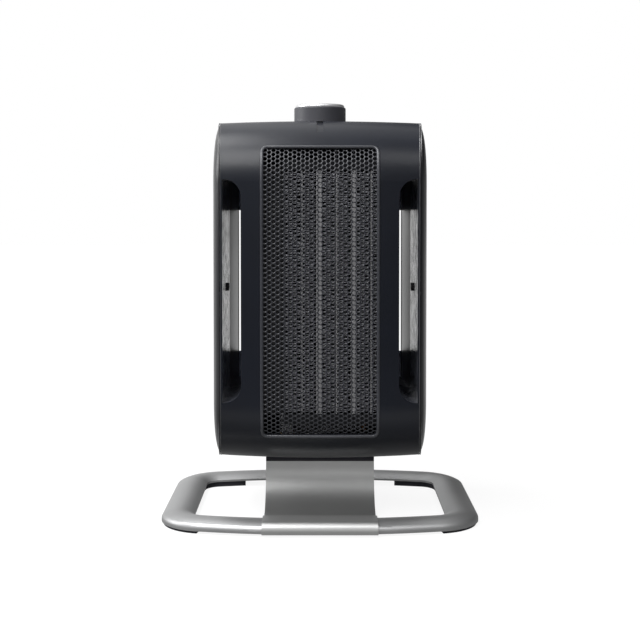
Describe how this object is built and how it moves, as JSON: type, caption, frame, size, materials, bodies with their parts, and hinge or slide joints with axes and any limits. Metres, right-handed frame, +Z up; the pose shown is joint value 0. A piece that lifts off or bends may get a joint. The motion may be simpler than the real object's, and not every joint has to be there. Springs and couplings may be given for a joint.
{
  "type": "fan heater",
  "caption": "Upright fan heater with a perforated front grille, see-through side slots, a rotary knob on top and a bent metal strip that carries it on an open oval ring base",
  "frame": {"origin": "on the floor, below the middle of the ring base", "axes": "+Z up, the grille faces -Y, +X is to the right for someone who looks at the grille"},
  "size_m": [0.2444, 0.1945, 0.325],
  "materials": {
    "base_metal": "satin",
    "strip_metal": "brushed",
    "rubber": "matt",
    "body_black": "satin",
    "filter_foam": "open foam",
    "liner_gloss": "speckled gloss",
    "grille_metal": "satin",
    "knob_black": "satin",
    "cap_metal": "turned",
    "inner_plastic": "matt",
    "steel": "zinc plated",
    "element_metal": "rolled",
    "ceramic": "matt",
    "bronze": "sintered",
    "copper_wire": "lacquered",
    "core_steel": "laminated"
  },
  "bodies": {
    "housing": {"base_ring": "base_metal", "base_pads": "rubber", "stand_strip": "strip_metal", "strip_screws": "steel", "neck_seal": "rubber", "support_plate": "steel", "flange_screws": "steel", "blower_posts": "inner_plastic", "front_cover": "body_black", "rear_cover": "body_black", "cover_screws": "steel", "left_side_panel": "body_black", "right_side_panel": "body_black", "side_panel_screws": "steel", "left_front_liner": "liner_gloss", "right_front_liner": "liner_gloss", "left_rear_liner": "body_black", "right_rear_liner": "body_black", "grille_bezel": "body_black", "front_grille": "grille_metal", "intake_grille": "inner_plastic", "intake_frame": "inner_plastic", "dust_filter": "filter_foam", "cord_gland": "inner_plastic", "gland_nut": "inner_plastic", "rotary_switch": "inner_plastic", "switch_nut": "steel", "element_rails": "element_metal", "separator_plates": "element_metal", "heating_bars": "element_metal", "fin_columns": "element_metal", "element_lower_holder": "inner_plastic", "element_upper_holder": "inner_plastic", "element_terminals": "bronze", "thermal_cutout": "ceramic", "scroll_wall": "inner_plastic", "blower_tongue": "inner_plastic", "blower_lower_plate": "inner_plastic", "blower_upper_plate": "inner_plastic", "upper_bush": "bronze", "bush_holder": "rubber", "motor_core": "core_steel", "motor_coil": "copper_wire", "motor_upper_bracket": "steel", "motor_lower_bracket": "steel", "motor_bushes": "bronze", "tip_switch_stirrup": "steel", "tip_switch_pin": "steel", "terminal_block": "inner_plastic"},
    "knob": {"control_knob": "knob_black", "knob_cap": "cap_metal", "switch_shaft": "steel"},
    "blower": {"blower_wheel": "inner_plastic", "blower_shaft": "steel", "motor_rotor": "core_steel"},
    "tip_weight": {"tip_switch_weight": "bronze"}
  },
  "joints": [
    {"name": "knob_turn", "type": "hinge", "parent": "housing", "child": "knob", "pos_m": [0, -0.001, 0.312], "axis": [0, 0, 1], "range_deg": [-270, 0]},
    {"name": "blower_spin", "type": "hinge", "parent": "housing", "child": "blower", "pos_m": [-0.006, 0.016, 0.178], "axis": [0, 0, 1], "continuous": true},
    {"name": "tip_weight_swing", "type": "hinge", "parent": "housing", "child": "tip_weight", "pos_m": [-0.026, -0.016, 0.076], "axis": [0, 1, 0], "range_deg": [-25, 25]}
  ]
}
